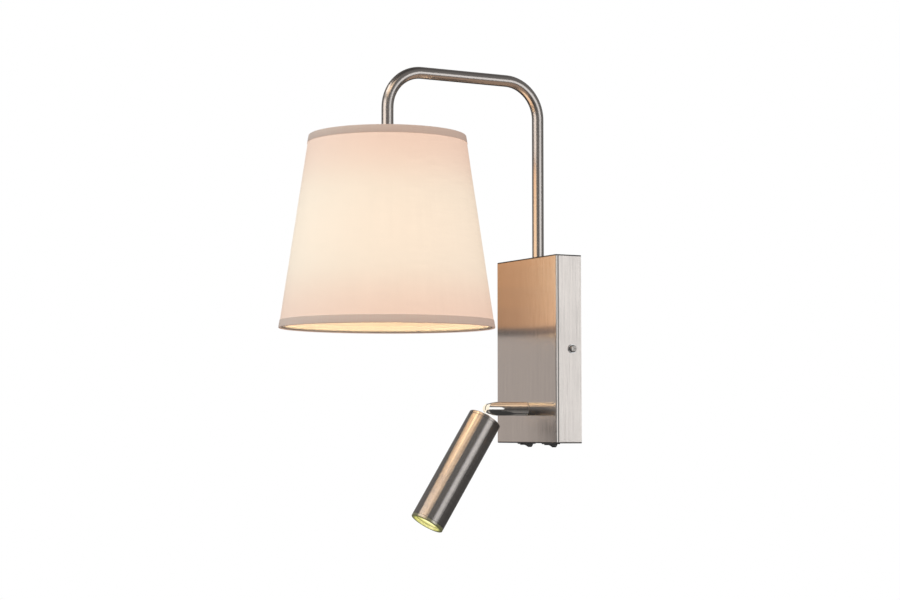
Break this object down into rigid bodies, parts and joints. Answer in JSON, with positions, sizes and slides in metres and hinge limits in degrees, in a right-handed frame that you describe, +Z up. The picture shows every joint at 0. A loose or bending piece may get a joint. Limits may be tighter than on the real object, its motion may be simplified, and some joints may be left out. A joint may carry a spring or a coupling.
{
  "type": "wall lamp",
  "caption": "Bedside wall lamp with a tapered fabric shade on a bent tube arm, a tilting reading light on a post and rocker switches.",
  "frame": {"origin": "on the wall, at the centre of the wall bracket's two bolt slots", "axes": "+Z up; +Y into the wall, so the lamp stands out towards -Y; +X to the right seen from the front"},
  "size_m": [0.215, 0.2965, 0.4678],
  "materials": {
    "brushed_nickel": "brushed nickel plate, vertical grain",
    "polished_chrome": "polished",
    "zinc_steel": "bright zinc plate",
    "brass": "plain",
    "shade_fabric": "fine plain weave laminated on film, off-white",
    "trim_tape": "folded tape in the shade's fabric",
    "white_wire": "white powder coat",
    "white_thermoplastic": "satin white",
    "frosted_glass": "frosted opal envelope, lit warm white",
    "nickel_cap": "nickel plated",
    "black_rubber": "matt",
    "black_plastic": "satin black",
    "white_nylon": "natural nylon",
    "driver_case": "white",
    "pvc_white": "white sheath",
    "pvc_earth": "green and yellow sheath",
    "aluminium": "as turned",
    "board_white": "white solder mask",
    "led_yellow": "phosphor",
    "clear_lens": "clear",
    "reflector_bright": "metallised"
  },
  "bodies": {
    "housing": {"cover": "brushed_nickel", "wall_bracket": "zinc_steel", "cable_grommet": "black_rubber", "cover_screws": "zinc_steel", "cover_screw_washers": "zinc_steel", "led_driver": "driver_case", "terminal_block": "white_nylon", "terminal_screws": "brass", "earth_stud": "brass", "earth_lead": "pvc_earth", "lamp_lead": "pvc_white", "led_lead": "pvc_white", "switch_leads": "pvc_white", "arm_nipple": "zinc_steel", "arm_washer": "zinc_steel", "arm_nut": "zinc_steel", "arm_tube": "brushed_nickel", "arm_tip_nipple": "zinc_steel", "holder_cap": "white_thermoplastic", "holder_skirt": "white_thermoplastic", "holder_insert": "white_thermoplastic", "holder_contact": "brass", "thread_shell": "brass", "shade_ring": "white_thermoplastic", "bulb_cap": "nickel_cap", "bulb_base": "white_thermoplastic", "bulb_envelope": "frosted_glass", "shade_skin": "shade_fabric", "shade_top_trim": "trim_tape", "shade_bottom_trim": "trim_tape", "shade_fitter": "white_wire", "shade_arms": "white_wire", "shade_top_ring": "white_wire", "shade_bottom_ring": "white_wire", "post_bush": "brass", "switch_housings": "black_plastic", "switch_terminals": "brass"},
    "post": {"post": "polished_chrome", "post_washer": "white_nylon", "post_stop_washer": "zinc_steel", "post_spring_washer": "zinc_steel", "post_nut": "zinc_steel", "post_lead": "pvc_white", "pivot_screw": "zinc_steel", "friction_washers": "white_nylon"},
    "head": {"head_stem": "polished_chrome", "head_cap": "brushed_nickel", "stem_nut": "zinc_steel", "head_tube": "brushed_nickel", "front_ring": "brushed_nickel", "lens": "clear_lens", "reflector": "reflector_bright", "led_board": "board_white", "led_chip": "led_yellow", "heat_sink": "aluminium", "head_lead": "pvc_white"},
    "rocker_left": {"rocker_left": "black_plastic"},
    "rocker_right": {"rocker_right": "black_plastic"}
  },
  "joints": [
    {"name": "post_swivel", "type": "hinge", "parent": "housing", "child": "post", "pos_m": [0, -0.03, -0.06], "axis": [0, -1, 0], "range_deg": [-110, 110]},
    {"name": "head_tilt", "type": "hinge", "parent": "post", "child": "head", "pos_m": [0, -0.0715, -0.06], "axis": [-1, 0, 0], "range_deg": [-37.5, 81.5]},
    {"name": "rocker_left_press", "type": "hinge", "parent": "housing", "child": "rocker_left", "pos_m": [-0.0245, -0.015, -0.0945], "axis": [1, 0, 0], "range_deg": [0, 28]},
    {"name": "rocker_right_press", "type": "hinge", "parent": "housing", "child": "rocker_right", "pos_m": [0.0245, -0.015, -0.0945], "axis": [1, 0, 0], "range_deg": [0, 28]}
  ]
}
